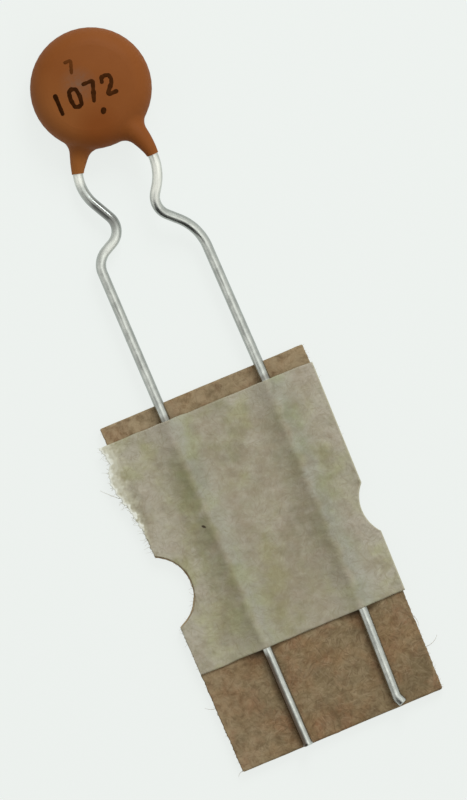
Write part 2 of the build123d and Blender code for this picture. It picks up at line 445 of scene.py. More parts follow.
def ridge(distance, radius, lift, foot):
    """Height over the card beside a lead: round over the lead, then a parabola that ends level at the foot.

    The parabola starts where the slope of the round, tan(lean), is twice the height still to fall
    over the way still to go.
    """
    crown = radius + lift
    leans = np.linspace(0.05, 1.4, 400)
    falls = radius + crown * np.cos(leans) - lift
    slack = np.tan(leans) * (foot - crown * np.sin(leans)) - 2 * falls
    lean = np.interp(0, slack, leans)
    leave = crown * np.sin(lean)
    fall = radius + crown * np.cos(lean) - lift
    to_go = (foot - np.clip(distance, leave, foot)) / (foot - leave)
    arc = radius + np.sqrt(np.clip(crown**2 - distance**2, 0, None)) - lift
    return lift + np.where(distance < leave, arc, fall * to_go**2)


# Pieces

def skin_faces(rows, columns, start):
    """Quads of a grid whose columns close round, with its first and last rows as end faces."""
    index = start + np.arange(rows * columns).reshape(rows, columns)
    after = np.roll(index, -1, axis=1)
    quads = np.stack([index[:-1], after[:-1], after[1:], index[1:]], axis=-1)
    return quads.reshape(-1, 4).tolist() + [index[0, ::-1].tolist(), index[-1].tolist()]


def add_piece(name, skins, material, replaced=(), marks=None):
    """Makes one mesh of closed skins, with marks as point attributes, and rides it on the part."""
    points, faces = [], []
    for skin in skins:
        faces += skin_faces(*skin.shape[:2], len(points))
        points += skin.reshape(-1, 3).tolist()
    mesh = bpy.data.meshes.new(name)
    mesh.from_pydata(points, [], faces)
    mesh.polygons.foreach_set("use_smooth", np.ones(len(mesh.polygons), bool))
    for mark, values in (marks or {}).items():
        kind, field = ("FLOAT_VECTOR", "vector") if values.ndim > 2 else ("FLOAT", "value")
        attribute = mesh.attributes.new(mark, kind, "POINT")
        attribute.data.foreach_set(field, values.astype(np.float32).ravel())
    mesh.materials.append(material)
    mesh.update()
    piece = bpy.data.objects.new(name, mesh)
    bpy.context.scene.collection.objects.link(piece)
    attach(piece, "root")
    if replaced:
        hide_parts(*replaced)


def dress(node, material):
    """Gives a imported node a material."""
    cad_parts[node].material_slots[0].material = material


# Materials

def solid(rgb):
    """A colour with full alpha, as sockets take it; a socket is passed on."""
    return rgb if isinstance(rgb, bpy.types.NodeSocket) else (*rgb, 1.0)


class Nodes:
    """Short ways to add shader nodes to one node tree."""

    def __init__(self, tree):
        self.tree = tree

    def feed(self, node, inputs):
        """Links each input that is given a socket and sets each that is given a value."""
        for name, value in inputs.items():
            if isinstance(value, bpy.types.NodeSocket):
                self.tree.links.new(value, node.inputs[name])
            else:
                node.inputs[name].default_value = value

    def add(self, kind, inputs=None, output=0, **options):
        """Adds a shader node and gives one of its outputs."""
        node = self.tree.nodes.new("ShaderNode" + kind)
        for name, value in options.items():
            setattr(node, name, value)
        self.feed(node, inputs or {})
        return node.outputs[output]

    def maths(self, operation, *values):
        """One arithmetic step on two or three values."""
        return self.add("Math", dict(enumerate(values)), operation=operation)

    def remap(self, value, low, high, to_low=0.0, to_high=1.0):
        """Value from low to high, spread over to_low to to_high and held there."""
        wanted = {"Value": value, "From Min": low, "From Max": high, "To Min": to_low, "To Max": to_high}
        return self.add("MapRange", wanted)


class Finish(Nodes):
    """A material with one Principled shader, whose colour starts as a ground and is laid on in layers."""

    def __init__(self, name, ground):
        self.material = bpy.data.materials.new(name)
        self.material.use_nodes = True
        super().__init__(self.material.node_tree)
        self.shader = self.tree.nodes["Principled BSDF"]
        self.body = ground

    def millimetres(self, shift=(0.0, 0.0)):
        """Place on the part in millimetres, shifted across and along."""
        place = self.add("TexCoord", output="Object")
        scale = (1 / mm, 1 / mm, 1 / mm)
        return self.add("Mapping", {"Vector": place, "Scale": scale, "Location": (*shift, 0.0)})

    @cached_property
    def place(self):
        """Place on the part in millimetres."""
        return self.millimetres()

    @cached_property
    def level(self):
        """Place on the part in millimetres with its height left out."""
        return self.add("Mapping", {"Vector": self.place, "Scale": (1.0, 1.0, 0.0)})

    def bent_place(self, amount):
        """Place in millimetres pushed about by soft noise, so that lines laid on it curl."""
        curl = self.add("TexNoise", {"Vector": self.place, "Scale": 0.9, "Detail": 2.0}, "Color")
        offset = self.add("VectorMath", {0: curl, 1: (0.5, 0.5, 0.5)}, operation="SUBTRACT")
        wanted = {0: offset, 1: (amount, amount, 0.0), 2: self.place}
        return self.add("VectorMath", wanted, operation="MULTIPLY_ADD")

    def mark(self, name, output="Fac"):
        """What a point attribute of the piece holds."""
        return self.add("Attribute", output=output, attribute_name=name)

    def noise(self, scale, detail=3.0, roughness=0.6, place=None, shift=None):
        """Soft noise from 0 to 1 with so many features to the millimetre, on a place or a shift of it."""
        place = place or (self.millimetres(shift) if shift else self.place)
        wanted = {"Vector": place, "Scale": scale, "Detail": detail, "Roughness": roughness}
        return self.add("TexNoise", wanted)

    def near(self, middle, radius, place=None):
        """1 at a place, falling to 0 at a radius from it."""
        gap = self.add("VectorMath", {0: place or self.place, 1: middle}, "Value", operation="DISTANCE")
        return self.remap(gap, 0.0, radius, 1.0, 0.0)

    def felted(self, place, turns, size, low, high):
        """Short straight fibres in several directions: where noise drawn out along a direction is high."""
        fibres = 0.0
        for turn in turns:
            wanted = {"Rotation": (0.0, 0.0, turn), "Scale": (*size, 1.0), "Location": (turn, -turn, 0.0)}
            drawn = self.add("Mapping", {"Vector": place, **wanted}, vector_type="TEXTURE")
            here = self.remap(self.noise(1.0, 1.0, 0.5, drawn), low, high)
            fibres = self.maths("MAXIMUM", fibres, here)
        return fibres

    def mix(self, factor, first, second, **options):
        """Colour from first at factor 0 to second at factor 1."""
        wanted = {0: factor, 6: solid(first), 7: solid(second)}
        return self.add("Mix", wanted, 2, data_type="RGBA", **options)

    def lay(self, rgb, pattern, low=0.0, high=1.0, most=1.0, least=0.0):
        """Lays a colour on: the least share where a pattern is at low and the most where it is at high."""
        self.body = self.mix(self.remap(pattern, low, high, least, most), self.body, rgb)

    def tint(self, rgb, pattern, low=0.0, high=1.0):
        """Multiplies by a tint: not at all where a pattern is at low and fully where it is at high."""
        self.body = self.mix(self.remap(pattern, low, high), self.body, rgb, blend_type="MULTIPLY")

    def bump(self, height, distance, strength):
        """Normals tilted by a height pattern."""
        return self.add("Bump", {"Height": height, "Distance": distance, "Strength": strength})

    def done(self, **surface):
        """Gives the shader its colour and its other surface values, and returns the material."""
        sockets = {"specular": "Specular IOR Level"}
        named = {sockets.get(name, name.capitalize()): value for name, value in surface.items()}
        self.feed(self.shader, {"Base Color": solid(self.body), **named})
        return self.material


def kraft(card):
    """Solid kraft card: brown clouds with pale and dark felted fibres, dry and rough, with a painted shadow
    under the lower edge of the tape beside each lead.
    """
    look = Finish("kraft_card", card.brown_kraft)
    bent = look.bent_place(0.5)
    pale = look.felted(bent, (0.3, 1.2, 2.1, 2.8), (0.55, 0.15), low=0.50, high=0.86)
    dark = look.felted(bent, (0.1, 0.8, 1.7, 2.5), (0.55, 0.14), low=0.50, high=0.86)
    dashes = look.felted(bent, (0.6, 1.5, 2.2, 3.0), (0.42, 0.09), low=0.60, high=0.76)
    wisps = look.felted(bent, (0.0, 0.9, 1.9, 2.7), (0.5, 0.09), low=0.64, high=0.78)
    clouds = look.noise(0.9)
    blotches = look.noise(1.1, shift=(3.0, 9.0))
    flecks = look.noise(2.6, place=bent)
    grain = look.noise(11.0)
    hues = look.noise(0.7, roughness=0.5, shift=(5.0, 1.0))
    stains = look.noise(0.6, shift=(9.0, 4.0))
    look.lay(card.kraft, clouds, 0.35, 0.65)
    look.lay(card.red_kraft, blotches, 0.45, 0.68, most=0.9)
    look.lay(card.dark_fibre, flecks, 0.5, 0.25, most=0.65)
    look.lay(card.pale_fibre, flecks, 0.5, 0.75, most=0.5)
    look.lay(card.dark_fibre, grain, 0.35, 0.75, most=0.2)
    look.lay(card.dark_fibre, dark, most=0.4)
    look.lay(card.pale_fibre, pale, most=0.4)
    look.lay(card.dark_fibre, dashes, most=0.6)
    look.lay(card.pale_fibre, wisps, most=0.4)
    look.tint(card.red_tint, hues, 0.46, 0.62)
    look.tint(card.stain_tint, stains, 0.5, 0.7)
    uneven = look.remap(flecks, 0.35, 0.65, 0.3, 1.7)
    look.lay(card.pale_fibre, look.maths("MULTIPLY", look.mark("faded"), uneven))
    # Painted shadow under the lower edge of the tape, left of each lead
    look.lay(card.dirt, look.mark("painted_shade"))
    height = look.maths("ADD", look.maths("SUBTRACT", pale, dark), grain)
    return look.done(roughness=0.92, specular=0.15, normal=look.bump(height, 0.02 * mm, 0.3))


def paper(tape):
    """Thin greyish paper: the card's fibres show through it, and it is pale where it hangs free. Painted
    shade lies over the gap beside each lead, and painted light on the slopes.
    """
    look = Finish("paper_tape", tape.brown_paper)
    bent = look.bent_place(0.6)
    brown = look.felted(bent, (0.5, 1.3, 2.3, 2.9), (0.5, 0.15), low=0.52, high=0.86)
    pale = look.felted(bent, (0.1, 0.9, 1.9), (0.5, 0.16), low=0.52, high=0.86)
    dashes = look.felted(bent, (0.2, 1.0, 1.8, 2.6), (0.42, 0.09), low=0.60, high=0.76)
    clouds = look.noise(0.7)
    patches = look.noise(1.3, shift=(7.0, 3.0))
    greens = look.noise(0.8, shift=(2.0, 8.0))
    flecks = look.noise(2.4, place=bent)
    grain = look.noise(12.0)
    hues = look.noise(0.7, roughness=0.5, shift=(5.0, 1.0))
    stains = look.noise(0.6, shift=(9.0, 4.0))
    look.lay(tape.paper, clouds, 0.35, 0.62, least=0.25)
    look.lay(tape.green_paper, greens, 0.45, 0.65, most=0.8)
    look.lay(tape.pale_paper, patches, 0.42, 0.72, most=0.8)
    look.lay(tape.brown_paper, flecks, 0.5, 0.25, most=0.4)
    look.lay(tape.pale_paper, flecks, 0.5, 0.75, most=0.4)
    look.lay(tape.brown_paper, look.mark("browned"))
    # Faded patches, with painted light on the slopes beside the leads
    look.lay(tape.pale_paper, look.mark("faded"))
    look.lay(tape.pale_paper, pale, most=0.4)
    look.lay(tape.brown_paper, brown, most=0.4)
    look.lay(tape.brown_paper, dashes, most=0.45)
    look.tint(tape.olive_tint, hues, 0.5, 0.66)
    look.tint(tape.mauve_tint, hues, 0.5, 0.34)
    look.tint(tape.stain_tint, stains, 0.5, 0.7)
    # Painted shade over the gap left of each lead's crest
    gap_shade_colour = look.mix(look.remap(patches, 0.4, 0.6), tape.hollow_paper, tape.olive_paper)
    look.lay(gap_shade_colour, look.mark("hollow"))
    # Painted cool light on the slope right of each lead
    look.tint(tape.wire_tint, look.mark("on_wire"))
    free = look.mark("free")
    look.lay(tape.bare_paper, free, 0.0, 0.6)
    look.lay(tape.torn_paper, free, 0.5, 1.0)
    ellipse = {"Location": (-2.85, 2.15, 0.0), "Rotation": (0.0, 0.0, -0.86), "Scale": (0.15, 0.08, 99.0)}
    in_ellipse = look.add("Mapping", {"Vector": bent, **ellipse}, vector_type="TEXTURE")
    look.lay(tape.speck, look.near((0.0, 0.0, 0.0), 1.0, in_ellipse), 0.0, 0.4)
    height = look.maths("ADD", look.maths("SUBTRACT", pale, brown), grain)
    return look.done(roughness=0.85, specular=0.2, normal=look.bump(height, 0.012 * mm, 0.4))


def loose_fibre(name, root_colour, tip_colour):
    """Single paper fibres: one colour at the root and a paler one towards the tip, unevenly."""
    look = Finish(name, root_colour)
    uneven = look.remap(look.noise(6.0, 2.0, 0.5), 0.3, 0.7, -0.2, 0.2)
    look.lay(tip_colour, look.maths("ADD", look.mark("tip"), uneven))
    return look.done(roughness=0.8, specular=0.2)


def tinned(leads):
    """Tinned wire: grey metal with fine drawn lines along it, dull scuffs, pits and frosted stretches;
    painted shade darkens its flanks, its kinks and one side of its ends.
    """
    left_shoulder = (-1.98, 20.1, 0.65)
    left_kink = (-1.3, 18.1, 0.68)
    left_hip = (-1.75, 16.5, 0.75)
    right_shoulder = (1.6, 18.75, 1.65)
    right_hip = (1.75, 16.6, 1.0)
    look = Finish("tinned_wire", leads.tin)
    on_wire = look.mark("wire_place", "Vector")
    drawn = look.add("Mapping", {"Vector": on_wire, "Scale": (9.0, 9.0, 0.7)})
    lines = look.noise(1.6, 3.0, 0.65, drawn)
    scuffs = look.noise(2.6, 4.0, 0.65, on_wire)
    pits = look.remap(look.noise(11.0, 1.0, 0.5, on_wire), 0.66, 0.74)
    worn = look.remap(look.maths("MULTIPLY_ADD", lines, 0.5, scuffs), 0.6, 0.9)
    worn = look.maths("MAXIMUM", worn, pits)
    shaded_flanks = look.mark("shaded_flanks")
    lightened = look.maths("MULTIPLY", look.near(left_hip, 0.9), 0.45)
    frosted = look.maths("MAXIMUM", look.near(right_shoulder, 1.7), look.near(left_shoulder, 0.6))
    frosted = look.maths("MAXIMUM", frosted, lightened)
    frosted = look.remap(look.maths("MULTIPLY_ADD", scuffs, 0.3, frosted), 0.2, 0.75)
    # The flanks carry painted shade, so the frosted stretches fade out there
    frosted = look.maths("MULTIPLY", frosted, look.remap(shaded_flanks, 0.0, 1.0, 1.0, 0.4))
    frosted = look.maths("MULTIPLY", frosted, look.remap(lines, 0.38, 0.58, 0.7, 1.0))
    # The kinks get darker tin as painted shade for their dark reflections, and the same mask makes them
    # smoother
    burnished_and_shaded = look.remap(look.near(left_kink, 1.3), 0.1, 0.5)
    pressed = look.remap(look.near(right_hip, 1.4), 0.1, 0.5, 0.0, 0.2)
    burnished_and_shaded = look.maths("MAXIMUM", burnished_and_shaded, pressed)
    look.lay(leads.dull_tin, worn, most=0.8)
    look.lay(leads.side_tin, lines, 0.55, 0.72, most=0.6)
    # Painted shade on both flanks of the wire
    look.lay(leads.side_tin, shaded_flanks, most=0.75)
    look.lay(leads.frosted_tin, frosted)
    # Painted shade in the kinks
    look.lay(leads.burnished_tin, burnished_and_shaded, most=0.9)
    # Painted shade on the lead ends, and darker tin just above the tape
    look.lay(leads.grime, look.mark("painted_shade"))
    rough = look.maths("MULTIPLY_ADD", worn, 0.15, leads.roughness)
    rough = look.maths("MULTIPLY_ADD", frosted, 0.25, rough)
    rough = look.maths("MULTIPLY", look.remap(burnished_and_shaded, 0.0, 1.0, 1.0, 0.6), rough)
    metallic = look.remap(frosted, 0.0, 1.0, 1.0, 0.15)
    ruts = look.remap(burnished_and_shaded, 0.0, 1.0, 0.25, 0.05)
    normal = look.bump(look.maths("SUBTRACT", lines, pits), 0.004 * mm, ruts)
    return look.done(roughness=rough, metallic=metallic, normal=normal)


def resin(coating):
    """Dipped resin: even orange brown, a shade darker in soft clouds, satin with a faint orange peel; paler
    on the left as painted fill light, darker low in the middle and greyer on top.
    """
    look = Finish("dipped_resin", coating.dark_resin)
    specks = look.noise(6.0, 2.0, 0.5)
    haze_spot = look.near((-0.15, 24.25, 2.5), 1.0)
    lightened = look.near((-2.2, 23.2, 0.0), 3.0, look.level)
    low_middle = look.near((0.0, 21.9, 0.0), 1.3, look.level)
    left_neck = look.near((-1.8, 20.6, 0.9), 1.1)
    look.lay(coating.resin, look.noise(0.55, 3.0, 0.55), 0.3, 0.7)
    # Greyer patch on the top of the dome, broken up by specks
    look.lay(coating.dust, look.maths("MULTIPLY", haze_spot, look.remap(specks, 0.3, 0.7, 0.4, 1.0)))
    # Painted fill light on the left of the coating
    look.lay(coating.pale_resin, lightened, 0.1, 0.8)
    # Darker low in the middle, between the necks
    look.lay(coating.thick_resin, low_middle, 0.0, 0.7, most=0.8)
    look.lay(coating.thin_resin, left_neck, 0.0, 0.6)
    rough = look.remap(specks, 0.2, 0.8, coating.roughness - 0.06, coating.roughness + 0.06)
    normal = look.bump(look.noise(4.5, 2.0, 0.5), 0.02 * mm, 0.2)
    return look.done(roughness=rough, specular=0.08, normal=normal)


def stamping_ink(marks, coating):
    """Stamped ink: nearly black, thin and brown in places where the resin shows."""
    look = Finish("stamping_ink", marks.ink)
    thin = look.remap(look.noise(3.4), 0.45, 0.8, 0.0, 0.15)
    faint = look.remap(look.near((-0.15, 25.2, 0.0), 1.2, look.level), 0.25, 0.55, 0.0, 0.34)
    fading = look.remap(look.near((1.3, 23.7, 0.0), 2.8, look.level), 0.0, 1.0, 0.0, 0.12)
    look.lay(coating.dark_resin, look.maths("ADD", thin, look.maths("ADD", faint, fading)))
    normal = look.bump(look.noise(12.0, 2.0, 0.5), 0.004 * mm, 0.3)
    return look.done(roughness=0.7, specular=0.02, normal=normal)


def mottled(name, rgb, scale, metallic, roughness, depth):
    """Hidden finish: a colour with soft mottling of a given depth, matt or metal."""
    look = Finish(name, [part * (1 - depth) for part in rgb])
    grain = look.noise(scale, 4.0)
    look.lay(rgb, grain)
    rough = look.remap(grain, 0.2, 0.8, roughness - 0.1, roughness + 0.1)
    return look.done(roughness=rough, metallic=metallic, normal=look.bump(grain, 0.01 * mm, 0.4))


def pale_floor(stage):
    """Floor that keeps a soft shadow and looks pale to the camera and in reflections."""
    look = Finish("pale_floor", stage.floor)
    look.done(roughness=0.9)
    glow = look.add("Emission", {"Color": solid(stage.floor), "Strength": 1.0})
    path = look.add("LightPath").node.outputs
    seen = look.maths("MAXIMUM", path["Is Camera Ray"], path["Is Glossy Ray"])
    seen = look.maths("MAXIMUM", seen, path["Is Transmission Ray"])
    glow_share = 0.9
    part = look.maths("MULTIPLY", seen, glow_share)
    both = look.add("MixShader", {0: part, 1: look.shader.outputs[0], 2: glow})
    look.feed(look.tree.nodes["Material Output"], {"Surface": both})
    return look.material


# Operators

class CAPACITOR_OT_dress_coating(bpy.types.Operator):
    """Gives the dipped coating its resin finish"""

    bl_idname = "capacitor.dress_coating"
    bl_label = "Dress coating"

    def execute(self, context):
        dress("coating", resin(context.scene.capacitor.coating))
        return {"FINISHED"}


class CAPACITOR_OT_dress_inside(bpy.types.Operator):
    """Gives the ceramic disc, its silver films and the solder their finishes"""

    bl_idname = "capacitor.dress_inside"
    bl_label = "Dress inside"

    def execute(self, context):
        coating = context.scene.capacitor.coating
        ceramic = mottled("fired_ceramic", coating.ceramic, 6.0, metallic=0.0, roughness=0.7, depth=0.2)
        silver = mottled("silver_film", coating.silver, 14.0, metallic=1.0, roughness=0.35, depth=0.15)
        solder = mottled("dull_solder", coating.solder, 5.0, metallic=1.0, roughness=0.45, depth=0.25)
        dress("ceramic_disc", ceramic)
        for side in ("front", "rear"):
            dress(f"{side}_electrode", silver)
            dress(f"{side}_solder", solder)
        return {"FINISHED"}


class CAPACITOR_OT_print_marks(bpy.types.Operator):
    """Stamps plain digits and a dot on the upper dome of the coating"""

    bl_idname = "capacitor.print_marks"
    bl_label = "Print marks"

    def execute(self, context):
        settings = context.scene.capacitor
        marks = settings.marks
        code_place = np.array((-1.36, 23.72)) * mm
        side_place = np.array((-0.15, 25.2)) * mm
        dot_ends = np.array([(0.5, 22.6), (0.54, 22.66)]) * mm
        skins = number_skins(marks, marks.code, code_place, marks.height)
        skins += number_skins(marks, marks.side_code, side_place, marks.height * marks.side_share)
        skins.append(ink_line(marks, dot_ends, marks.dot))
        add_piece("value_marks", skins, stamping_ink(marks, settings.coating))
        return {"FINISHED"}


def number_skins(marks, number, first, height):
    """Ink lines of a number, its first digit centred on a place of the disc."""
    skins = []
    width = height * marks.width_share
    stroke = marks.stroke * (height / marks.height) ** 0.5
    for place, digit in enumerate(str(number)):
        corner = first + (place * marks.pitch - width / 2, -height / 2)
        line = np.array(digit_stroke_shares[digit]) * (width, height) + corner
        skins.append(ink_line(marks, line, stroke))
    return skins


def ink_line(marks, corners, stroke):
    """Ribbon of ink: a flat ellipse carried along a line bent round its corners, its ends round.

    It lies on the dome: height = top of the coating - radius + root of radius squared less the squared
    distance from the middle of the disc.
    """
    widest_bend = stroke * 0.35
    bend_per_run = 0.3
    coarse_step, fine_step = stroke / 8, stroke / 12
    raggedness = 0.09
    least_end = 0.05
    sides = 12
    flat = np.concatenate([corners, np.zeros((len(corners), 1))], axis=1)
    if len(corners) > 2:
        runs = np.linalg.norm(np.diff(corners, axis=0), axis=1)
        bends = np.minimum(widest_bend, np.minimum(runs[:-1], runs[1:]) * bend_per_run)
        route, steps = rounded_route(flat, bends, coarse_step)
    else:
        route, steps = even_steps(flat, coarse_step)
    cap = unit(np.gradient(route, axis=0)) * stroke / 2
    route = np.concatenate([route[:1] - cap[:1], route, route[-1:] + cap[-1:]])
    route, steps = even_steps(route, fine_step)
    side = np.cross(unit(np.gradient(route, axis=0)), (0, 0, 1))
    lift = np.zeros_like(route) + (0, 0, 1)
    ends = np.minimum(steps, steps[-1] - steps)
    half = np.maximum(rounding(ends, stroke / 2), least_end) * stroke / 2
    half = half * (1 + raggedness * wave_noise(stroke * 1.5, 5, route[:, 0], route[:, 1]))
    skin = carried_ellipse(route, side, lift, half, np.full(len(route), marks.thickness), sides)
    disc_radius = (coat_high.x - coat_low.x) / 2
    reach = np.hypot(skin[..., 0] - coat_low.x - disc_radius, skin[..., 1] - coat_high.y + disc_radius)
    skin[..., 2] += coat_high.z - marks.dome_radius + np.sqrt(marks.dome_radius**2 - reach**2)
    return skin


class CAPACITOR_OT_form_leads(bpy.types.Operator):
    """Draws the two tinned leads along their kinked routes"""

    bl_idname = "capacitor.form_leads"
    bl_label = "Form leads"

    def execute(self, context):
        leads, tape = context.scene.capacitor.leads, context.scene.capacitor.tape
        material = tinned(leads)
        spacing, sides = 0.07 * mm, 40
        # Each lead: node, corners, bends and the depth of the painted shade on its end
        for node, corners, bends, shade_depth in (
            ("left_lead", left_lead_corners, left_lead_bends, 1.0),
            ("right_lead", right_lead_corners, right_lead_bends, 0.25),
        ):
            route, steps = rounded_route(corners, bends, spacing)
            skin = wire_skin(route, steps, leads.diameter / 2, sides)
            marks = lead_marks(leads, tape, skin, steps, shade_depth)
            add_piece(f"{node}_wire", [skin], material, [node], marks)
        return {"FINISHED"}


def lead_marks(leads, tape, skin, steps, shade_depth):
    """Place round and along the wire, painted shade on the flanks and on one side of the ends beside the
    card, and darker tin just above the tape.
    """
    rows, sides = skin.shape[:2]
    angle = np.linspace(0, 2 * np.pi, sides, endpoint=False)
    turn = np.stack([np.cos(angle), np.sin(angle)], axis=1) * leads.diameter / 2
    place = np.zeros(skin.shape)
    place[..., :2] = turn
    place[..., 2] = steps[:, None]
    below_tape = (-tape.tail - skin[..., 1]) / mm
    above_tape = (skin[..., 1] - tape.head) / mm
    # Painted shade on the left side of each lead end below the tape; darker tin just above the tape's head
    # edge
    shaded_side = ramp(np.cos(angle), -0.15625, 0.46875)
    by_tape = ramp(above_tape, 0.4, 0.15) * (above_tape > 0)
    painted_shade = shade_depth * ramp(below_tape, 0, 0.5) * shaded_side + 0.5 * by_tape
    # Painted shade on both flanks of the wire, all along it
    flank_shade = ramp(np.abs(np.cos(angle)), 0.5, 0.8)
    shaded_flanks = np.tile(flank_shade, (rows, 1))
    return {"wire_place": place / mm, "painted_shade": painted_shade, "shaded_flanks": shaded_flanks}


class CAPACITOR_OT_cut_card(bpy.types.Operator):
    """Cuts the kraft card with its frayed edges and worn corners"""

    bl_idname = "capacitor.cut_card"
    bl_label = "Cut card"

    def execute(self, context):
        settings = context.scene.capacitor
        card = settings.card
        rows, columns = 300, 110

        def worn(y):
            end = np.minimum(card.head - y, y + card.tail)
            return card.corner_round * (1 - rounding(end, card.corner_round))

        def side_fray(y, seed):
            return card.fray * (wave_noise(0.17 * mm, seed, y) + wave_noise(0.9 * mm, seed + 1, y))

        def end_fray(x, seed):
            return card.fray * wave_noise(0.7 * mm, seed, x)

        x, y = sheet_grid(
            lambda y: card_left(card, y) + worn(y) + side_fray(y, 11),
            lambda y: card_right(card, y) - worn(y) + side_fray(y, 21),
            lambda x: -card.tail + end_fray(x, 31),
            lambda x: card.head + end_fray(x, 41),
            rows,
            columns,
        )
        end = np.minimum(card.head - y, y + card.tail)
        skin = closed_sheet(x, y, card_level, 0.0, end, card.edge_round, least=0.6)
        marks = card_marks(card, settings.tape, settings.leads, x, y)
        add_piece("kraft_card", [skin], kraft(card), ["carrier_card"], marks)
        return {"FINISHED"}


def card_marks(card, tape, leads, x, y):
    """Where the card has faded, and the painted shadow left of each lead under the lower edge of the tape.

    Marks are shares of the full effect. The two ends of a ramp are places in millimetres.
    """
    across, along = x / mm, y / mm
    head_left, head_right = ramp(across, -1.5, -4), ramp(across, 1.5, 3.5)
    head_strip = ramp(along, 6.5, 7.5)
    tail_left = ramp(across, -3, -4.5)
    faded = np.where(y > 0, (0.28 + 0.2 * head_left + 0.06 * head_right) * head_strip, 0.22 * tail_left)
    from_hole = np.hypot(x + card.hole_pitch / 2, y) - card.hole_diameter / 2
    hole_rim = spot(from_hole / mm, 0, 0.15)
    faded = faded + 0.6 * hole_rim
    # Painted shadow in the gap under the tape's lower edge, left of each lead
    shadow_width, shadow_height, shadow_drop = 0.33, 0.17, 0.04
    painted_shade = 0
    for corners in (left_lead_corners, right_lead_corners):
        from_gap_shadow = (x - lead_at(corners, y) + leads.diameter) / mm
        above_gap_shadow = (y + tape.tail) / mm + shadow_drop
        painted_shade = painted_shade + 0.75 * spot(from_gap_shadow / shadow_width, above_gap_shadow / shadow_height, 1)
    return {"faded": both_sides(faded), "painted_shade": both_sides(painted_shade)}


class CAPACITOR_OT_lay_tape(bpy.types.Operator):
    """Lays the paper tape over the leads, with its torn left edge"""

    bl_idname = "capacitor.lay_tape"
    bl_label = "Lay tape"

    def execute(self, context):
        settings = context.scene.capacitor
        card, tape = settings.card, settings.tape
        x, y = tape_grid(card, tape)
        from_left = x - lead_at(left_lead_corners, y)
        from_right = x - lead_at(right_lead_corners, y)
        offset = np.where(np.abs(from_left) < np.abs(from_right), from_left, from_right)
        crease_wander = 0.025 * mm
        offset = offset + crease_wander * wave_noise(1.7 * mm, 77, x * 0.3, y)
        top, bottom = tape_heights(tape, settings.leads.diameter / 2, x, y, offset)
        end = np.minimum(y[-1:] - y, y - y[:1])
        skin = closed_sheet(x, y, top, bottom, end, tape.thickness * 0.5, least=0.5)
        marks = tape_marks(card, tape, x, y, offset)
        add_piece("paper_tape", [skin], paper(tape), ["hold_down_tape"], marks)
        return {"FINISHED"}


def tape_grid(card, tape):
    """Grid of the tape: torn past the card on the left, punched with it, cut straight on the other sides."""
    rows, columns = 240, 170
    coarse_tear, fine_tear = 0.026 * mm, 0.02 * mm
    cut_share = 0.2
    tail_wave, head_wave = 0.01 * mm, 0.012 * mm
    hole_radius = card.hole_diameter / 2

    def left(y):
        cut = card_left(card, y)
        rim = hole_edge(card.hole_pitch, hole_radius + tape.punch_rim, y)
        cut = np.where(np.abs(y) < hole_radius, np.maximum(cut, rim), cut)
        rough = coarse_tear * wave_noise(0.42 * mm, 51, y) + fine_tear * wave_noise(0.16 * mm, 52, y)
        return cut - tear_reach(tape, y) + np.where(y > tape.tear_foot, rough, rough * cut_share)

    def right(y):
        return card_right(card, y) + tape.overhang

    def tail(x):
        return -tape.tail + tail_wave * wave_noise(1.5 * mm, 61, x)

    def head(x):
        fall = tape.slant * x / (card.right_head + card.left_head)
        return tape.head - fall + head_wave * wave_noise(1.2 * mm, 62, x)

    return sheet_grid(left, right, tail, head, rows, columns)


def tape_heights(tape, radius, x, y, offset):
    """Top and underside of the tape: card level + curl at the tail + ridge beside the nearer lead.

    The offset is the distance from that lead, less than 0 on its left, where the slope is wider. Two
    sizes of waves make the top uneven.
    """
    curl_reach = 0.3 * mm
    least_thickness = tape.thickness * 0.6
    level = card_level + tape.tail_curl * np.exp(-(y - y[:1]) / curl_reach)
    away = np.abs(offset)

    def draped(lift):
        left_slope = ridge(away, radius, lift, radius + tape.left_foot)
        right_slope = ridge(away, radius, lift, radius + tape.right_foot)
        return level + np.where(offset < 0, left_slope, right_slope)

    top = draped(tape.thickness)
    bottom = np.minimum(draped(0.0), top - least_thickness)
    relief = wave_noise(0.5 * mm, 71, x, y) + 0.6 * wave_noise(0.22 * mm, 72, x, y)
    return top + tape.relief * relief, bottom


